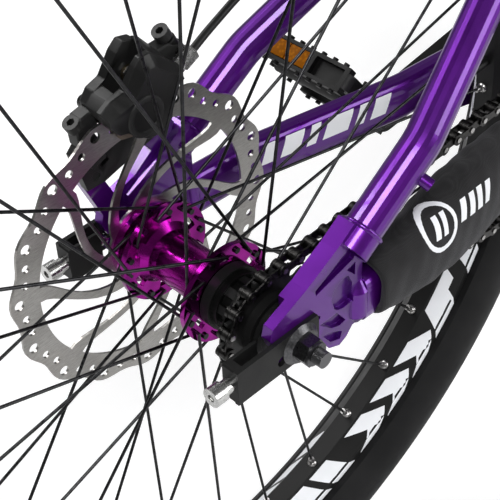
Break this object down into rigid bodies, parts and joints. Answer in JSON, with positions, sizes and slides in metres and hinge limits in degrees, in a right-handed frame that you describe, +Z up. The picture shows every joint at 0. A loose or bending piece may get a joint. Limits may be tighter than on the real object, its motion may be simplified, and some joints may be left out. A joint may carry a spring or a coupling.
{
  "type": "bmx bike",
  "caption": "Dirt and street bike with a low frame, high bars, solid-axle wheels, single-speed chain drive and a rear disc brake.",
  "frame": {"origin": "on the ground, half way between the axles, in the middle plane", "axes": "+X forward, +Y left, +Z up"},
  "size_m": [1.782, 0.7432, 1.0954],
  "materials": {
    "frame_paint": "gloss",
    "black_alloy": "satin",
    "black_paint": "satin",
    "black_steel": "oiled",
    "bare_steel": "bright",
    "dark_steel": "dull",
    "rotor_steel": "brushed",
    "hub_anodised": "anodised gloss",
    "rim_alloy": "satin",
    "tyre_rubber": "matt",
    "soft_rubber": "matt",
    "sleeve_foam": "matt",
    "saddle_cover": "matt",
    "pad_material": "dull"
  },
  "bodies": {
    "frame": {"head_tube": "frame_paint", "top_tube": "frame_paint", "down_tube": "frame_paint", "seat_tube": "frame_paint", "bottom_bracket": "frame_paint", "chainstay_left": "frame_paint", "chainstay_right": "frame_paint", "seatstay_left": "frame_paint", "seatstay_right": "frame_paint", "dropout_left": "frame_paint", "dropout_right": "frame_paint", "seat_clamp": "black_alloy", "bearing_cups": "black_alloy", "chainstay_sleeve": "sleeve_foam", "tensioners": "black_alloy", "tensioner_screws": "bare_steel", "rear_axle": "dark_steel", "rear_nuts": "dark_steel", "rear_caliper": "black_paint", "rear_bracket": "black_paint", "hose_fitting": "bare_steel", "rear_hose": "soft_rubber", "chain": "black_steel"},
    "rear_wheel": {"rear_tyre": "tyre_rubber", "rear_rim": "rim_alloy", "rear_spokes": "black_steel", "rear_nipples": "bare_steel", "rear_hub": "hub_anodised", "rear_rotor": "rotor_steel", "rear_rotor_bolts": "black_steel"},
    "driver": {"freehub": "black_steel", "cog": "black_steel", "cog_spacers": "black_steel"},
    "front_wheel": {"front_tyre": "tyre_rubber", "front_rim": "rim_alloy", "front_spokes": "black_steel", "front_nipples": "bare_steel", "front_hub": "hub_anodised"},
    "steering": {"fork_crown": "frame_paint", "fork_legs": "frame_paint", "front_axle": "dark_steel", "stem_spacer": "black_alloy", "stem": "black_alloy", "stem_faceplate": "black_alloy", "stem_bolts": "bare_steel", "handlebar": "black_paint", "grips": "soft_rubber", "brake_master": "black_paint"},
    "lever": {"brake_lever": "black_paint"},
    "crank": {"crank_arm_left": "black_alloy", "crank_arm_right": "black_alloy", "crank_spindle": "bare_steel", "pedal_axles": "bare_steel", "chainring": "black_steel"},
    "left_pedal": {"pedal_left": "black_alloy"},
    "right_pedal": {"pedal_right": "black_alloy"},
    "seat": {"seatpost": "black_alloy", "saddle": "saddle_cover"},
    "inner_pad": {"rear_pad_inner": "pad_material"},
    "outer_pad": {"rear_pad_outer": "pad_material"}
  },
  "joints": [
    {"name": "rear_wheel_spin", "type": "hinge", "parent": "frame", "child": "rear_wheel", "pos_m": [-0.545, 0, 0.346], "axis": [0, 1, 0], "continuous": true},
    {"name": "driver_spin", "type": "hinge", "parent": "frame", "child": "driver", "pos_m": [-0.545, 0, 0.346], "axis": [0, 1, 0], "continuous": true},
    {"name": "front_wheel_spin", "type": "hinge", "parent": "steering", "child": "front_wheel", "pos_m": [0.545, 0, 0.346], "axis": [0, 1, 0], "continuous": true},
    {"name": "crank_spin", "type": "hinge", "parent": "frame", "child": "crank", "pos_m": [-0.12844, 0, 0.324], "axis": [0, 1, 0], "continuous": true, "deforming": ["chain"]},
    {"name": "left_pedal_spin", "type": "hinge", "parent": "crank", "child": "left_pedal", "pos_m": [-0.29901, 0, 0.30185], "axis": [0, 1, 0], "continuous": true},
    {"name": "right_pedal_spin", "type": "hinge", "parent": "crank", "child": "right_pedal", "pos_m": [0.04213, 0, 0.34615], "axis": [0, 1, 0], "continuous": true},
    {"name": "steering_turn", "type": "hinge", "parent": "frame", "child": "steering", "pos_m": [0.51232, 0, 0.33663], "axis": [-0.2756, 0, 0.9613], "range_deg": [-60, 60], "deforming": ["rear_hose"]},
    {"name": "brake_lever_pull", "type": "hinge", "parent": "steering", "child": "lever", "pos_m": [0.36785, -0.22705, 1.07916], "axis": [-0.2753, 0.0465, 0.9602], "range_deg": [0, 15], "stiffness_Nm_per_rad": 1, "springref_deg": -5.73},
    {"name": "inner_pad_slide", "type": "slide", "parent": "frame", "child": "inner_pad", "axis": [0, 1, 0], "range_m": [0, 0.0004]},
    {"name": "outer_pad_slide", "type": "slide", "parent": "frame", "child": "outer_pad", "axis": [0, -1, 0], "range_m": [0, 0.0004]},
    {"name": "seatpost_slide", "type": "slide", "parent": "frame", "child": "seat", "axis": [-0.3256, 0, 0.9455], "range_m": [-0.04, 0.025]}
  ],
  "couplings": [
    {"joint": "driver_spin", "follows": "crank_spin", "ratio": 2.25},
    {"joint": "inner_pad_slide", "follows": "brake_lever_pull", "m_per_rad": 0.00149},
    {"joint": "outer_pad_slide", "follows": "brake_lever_pull", "m_per_rad": 0.00149}
  ]
}
